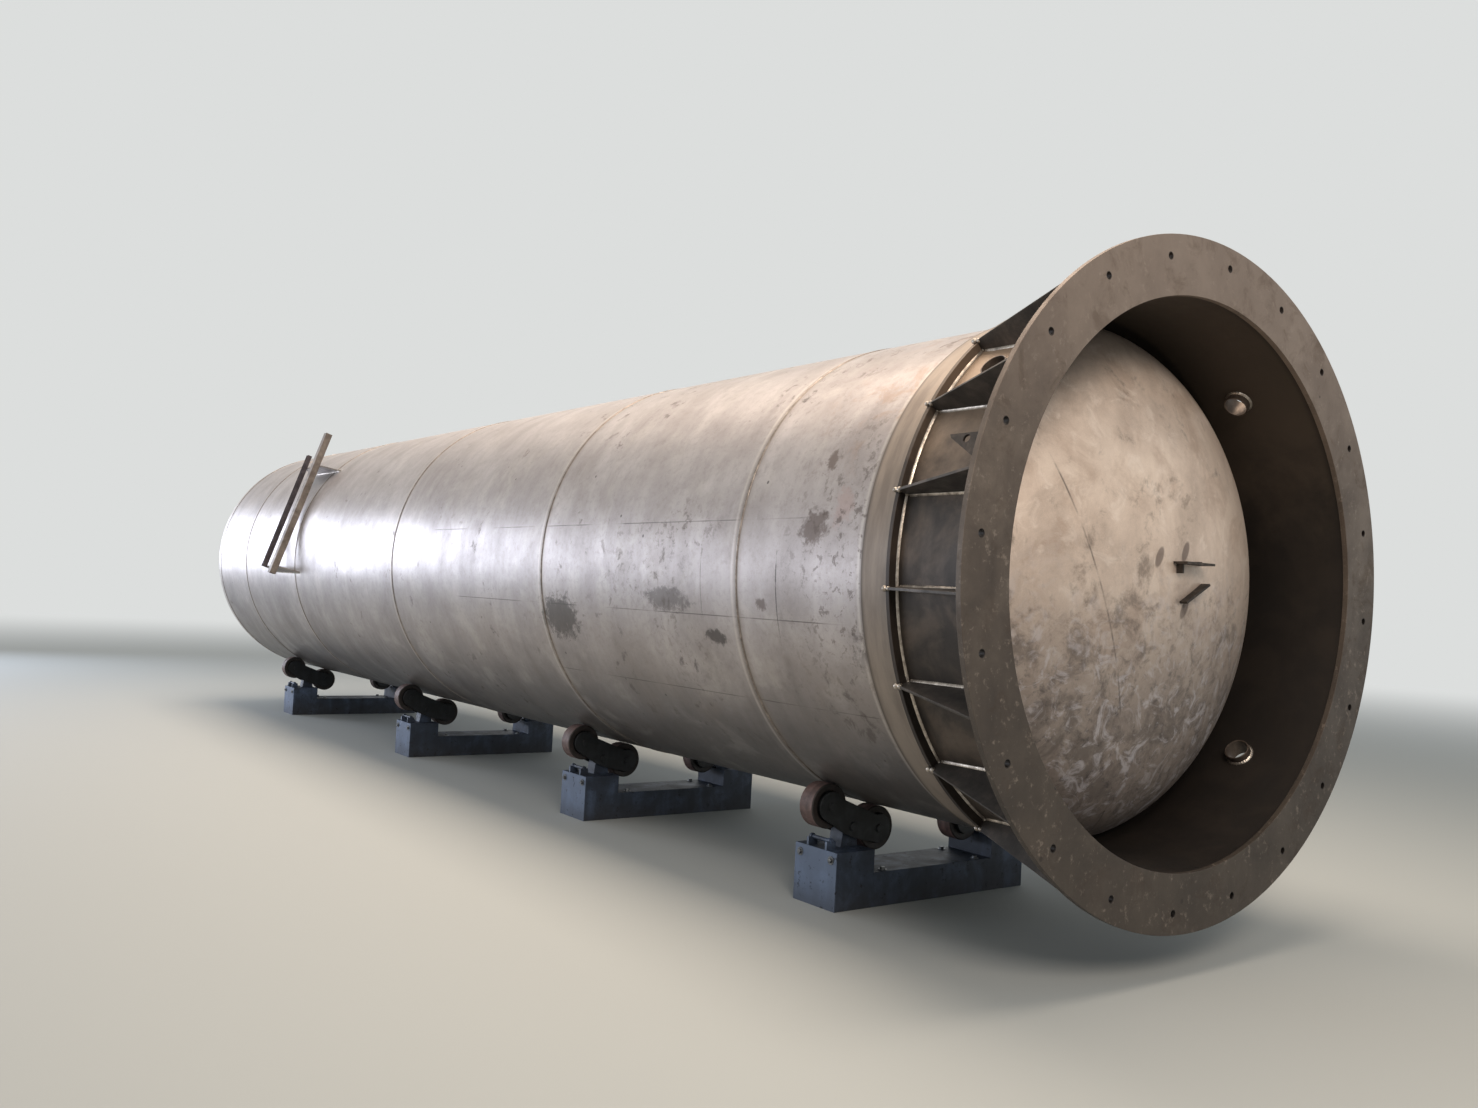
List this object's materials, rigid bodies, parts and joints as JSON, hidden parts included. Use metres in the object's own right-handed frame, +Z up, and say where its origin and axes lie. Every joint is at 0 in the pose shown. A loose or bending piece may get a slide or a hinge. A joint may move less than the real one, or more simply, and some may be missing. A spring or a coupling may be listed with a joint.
{
  "type": "horizontal pressure tank on turning rolls",
  "caption": "Long cylindrical steel tank with dished ends and a gusseted skirt and base ring, lying on sets of rubber-tyred turning rolls.",
  "frame": {"origin": "on the floor, under the middle of the overall box", "axes": "+X along the vessel's axis towards the base ring, +Z up, near side with the bracing bars at -Y"},
  "size_m": [11.869, 2.8898, 3.0763],
  "materials": {
    "course_plate": "dull mill finish, stained",
    "head_plate": "dull, mottled by pickling paste",
    "skirt_plate": "dark mill scale, matt",
    "ring_plate": "brown-grey mill scale, matt",
    "sleeve_pipe": "dull pipe",
    "cleat_steel": "burnt, matt",
    "bar_steel": "brown-grey, matt",
    "channel_steel": "dark, matt",
    "bracket_plate": "dull plate",
    "base_paint": "worn dark blue-grey paint",
    "rocker_paint": "near-black, oily",
    "wheel_tyre": "worn red-brown tyre on a dark rim"
  },
  "bodies": {
    "rolls": {"rolls_1_base": "base_paint", "rolls_2_base": "base_paint", "rolls_3_base": "base_paint", "rolls_4_base": "base_paint", "rolls_1_near_rocker": "rocker_paint", "rolls_2_near_rocker": "rocker_paint", "rolls_3_near_rocker": "rocker_paint", "rolls_4_near_rocker": "rocker_paint", "rolls_1_far_rocker": "rocker_paint", "rolls_2_far_rocker": "rocker_paint", "rolls_3_far_rocker": "rocker_paint", "rolls_4_far_rocker": "rocker_paint"},
    "vessel": {"shell_course_1": "course_plate", "shell_course_2": "course_plate", "shell_course_3": "course_plate", "shell_course_4": "course_plate", "shell_course_5": "course_plate", "shell_course_6": "course_plate", "far_head": "head_plate", "near_head": "head_plate", "skirt": "skirt_plate", "compression_ring": "skirt_plate", "base_ring": "ring_plate", "gussets": "skirt_plate", "vent_sleeves": "sleeve_pipe", "skirt_lug": "cleat_steel", "head_cleats": "cleat_steel", "brace_bar": "bar_steel", "brace_channel": "channel_steel", "brace_brackets": "bracket_plate"},
    "wheel_1_near_outer": {"wheel_1_near_outer": "wheel_tyre"},
    "wheel_1_near_inner": {"wheel_1_near_inner": "wheel_tyre"},
    "wheel_1_far_inner": {"wheel_1_far_inner": "wheel_tyre"},
    "wheel_1_far_outer": {"wheel_1_far_outer": "wheel_tyre"},
    "wheel_2_near_outer": {"wheel_2_near_outer": "wheel_tyre"},
    "wheel_2_near_inner": {"wheel_2_near_inner": "wheel_tyre"},
    "wheel_2_far_inner": {"wheel_2_far_inner": "wheel_tyre"},
    "wheel_2_far_outer": {"wheel_2_far_outer": "wheel_tyre"},
    "wheel_3_near_outer": {"wheel_3_near_outer": "wheel_tyre"},
    "wheel_3_near_inner": {"wheel_3_near_inner": "wheel_tyre"},
    "wheel_3_far_inner": {"wheel_3_far_inner": "wheel_tyre"},
    "wheel_3_far_outer": {"wheel_3_far_outer": "wheel_tyre"},
    "wheel_4_near_outer": {"wheel_4_near_outer": "wheel_tyre"},
    "wheel_4_near_inner": {"wheel_4_near_inner": "wheel_tyre"},
    "wheel_4_far_inner": {"wheel_4_far_inner": "wheel_tyre"},
    "wheel_4_far_outer": {"wheel_4_far_outer": "wheel_tyre"}
  },
  "joints": [
    {"name": "vessel_turn", "type": "hinge", "parent": "rolls", "child": "vessel", "pos_m": [0, 0, 1.63138], "axis": [1, 0, 0], "continuous": true},
    {"name": "wheel_1_near_outer_spin", "type": "hinge", "parent": "rolls", "child": "wheel_1_near_outer", "pos_m": [4.3295, -0.63525, 0.48536], "axis": [1, 0, 0], "continuous": true},
    {"name": "wheel_1_near_inner_spin", "type": "hinge", "parent": "rolls", "child": "wheel_1_near_inner", "pos_m": [4.3295, -0.31699, 0.36], "axis": [1, 0, 0], "continuous": true},
    {"name": "wheel_1_far_inner_spin", "type": "hinge", "parent": "rolls", "child": "wheel_1_far_inner", "pos_m": [4.3295, 0.31699, 0.36], "axis": [1, 0, 0], "continuous": true},
    {"name": "wheel_1_far_outer_spin", "type": "hinge", "parent": "rolls", "child": "wheel_1_far_outer", "pos_m": [4.3295, 0.63525, 0.48536], "axis": [1, 0, 0], "continuous": true},
    {"name": "wheel_2_near_outer_spin", "type": "hinge", "parent": "rolls", "child": "wheel_2_near_outer", "pos_m": [1.8995, -0.63525, 0.48536], "axis": [1, 0, 0], "continuous": true},
    {"name": "wheel_2_near_inner_spin", "type": "hinge", "parent": "rolls", "child": "wheel_2_near_inner", "pos_m": [1.8995, -0.31699, 0.36], "axis": [1, 0, 0], "continuous": true},
    {"name": "wheel_2_far_inner_spin", "type": "hinge", "parent": "rolls", "child": "wheel_2_far_inner", "pos_m": [1.8995, 0.31699, 0.36], "axis": [1, 0, 0], "continuous": true},
    {"name": "wheel_2_far_outer_spin", "type": "hinge", "parent": "rolls", "child": "wheel_2_far_outer", "pos_m": [1.8995, 0.63525, 0.48536], "axis": [1, 0, 0], "continuous": true},
    {"name": "wheel_3_near_outer_spin", "type": "hinge", "parent": "rolls", "child": "wheel_3_near_outer", "pos_m": [-1.0615, -0.63525, 0.48536], "axis": [1, 0, 0], "continuous": true},
    {"name": "wheel_3_near_inner_spin", "type": "hinge", "parent": "rolls", "child": "wheel_3_near_inner", "pos_m": [-1.0615, -0.31699, 0.36], "axis": [1, 0, 0], "continuous": true},
    {"name": "wheel_3_far_inner_spin", "type": "hinge", "parent": "rolls", "child": "wheel_3_far_inner", "pos_m": [-1.0615, 0.31699, 0.36], "axis": [1, 0, 0], "continuous": true},
    {"name": "wheel_3_far_outer_spin", "type": "hinge", "parent": "rolls", "child": "wheel_3_far_outer", "pos_m": [-1.0615, 0.63525, 0.48536], "axis": [1, 0, 0], "continuous": true},
    {"name": "wheel_4_near_outer_spin", "type": "hinge", "parent": "rolls", "child": "wheel_4_near_outer", "pos_m": [-4.2975, -0.63525, 0.48536], "axis": [1, 0, 0], "continuous": true},
    {"name": "wheel_4_near_inner_spin", "type": "hinge", "parent": "rolls", "child": "wheel_4_near_inner", "pos_m": [-4.2975, -0.31699, 0.36], "axis": [1, 0, 0], "continuous": true},
    {"name": "wheel_4_far_inner_spin", "type": "hinge", "parent": "rolls", "child": "wheel_4_far_inner", "pos_m": [-4.2975, 0.31699, 0.36], "axis": [1, 0, 0], "continuous": true},
    {"name": "wheel_4_far_outer_spin", "type": "hinge", "parent": "rolls", "child": "wheel_4_far_outer", "pos_m": [-4.2975, 0.63525, 0.48536], "axis": [1, 0, 0], "continuous": true}
  ],
  "couplings": [
    {"joint": "wheel_1_near_outer_spin", "follows": "vessel_turn", "ratio": -10.909},
    {"joint": "wheel_1_near_inner_spin", "follows": "vessel_turn", "ratio": -10.909},
    {"joint": "wheel_1_far_inner_spin", "follows": "vessel_turn", "ratio": -10.909},
    {"joint": "wheel_1_far_outer_spin", "follows": "vessel_turn", "ratio": -10.909},
    {"joint": "wheel_2_near_outer_spin", "follows": "vessel_turn", "ratio": -10.909},
    {"joint": "wheel_2_near_inner_spin", "follows": "vessel_turn", "ratio": -10.909},
    {"joint": "wheel_2_far_inner_spin", "follows": "vessel_turn", "ratio": -10.909},
    {"joint": "wheel_2_far_outer_spin", "follows": "vessel_turn", "ratio": -10.909},
    {"joint": "wheel_3_near_outer_spin", "follows": "vessel_turn", "ratio": -10.909},
    {"joint": "wheel_3_near_inner_spin", "follows": "vessel_turn", "ratio": -10.909},
    {"joint": "wheel_3_far_inner_spin", "follows": "vessel_turn", "ratio": -10.909},
    {"joint": "wheel_3_far_outer_spin", "follows": "vessel_turn", "ratio": -10.909},
    {"joint": "wheel_4_near_outer_spin", "follows": "vessel_turn", "ratio": -10.909},
    {"joint": "wheel_4_near_inner_spin", "follows": "vessel_turn", "ratio": -10.909},
    {"joint": "wheel_4_far_inner_spin", "follows": "vessel_turn", "ratio": -10.909},
    {"joint": "wheel_4_far_outer_spin", "follows": "vessel_turn", "ratio": -10.909}
  ]
}
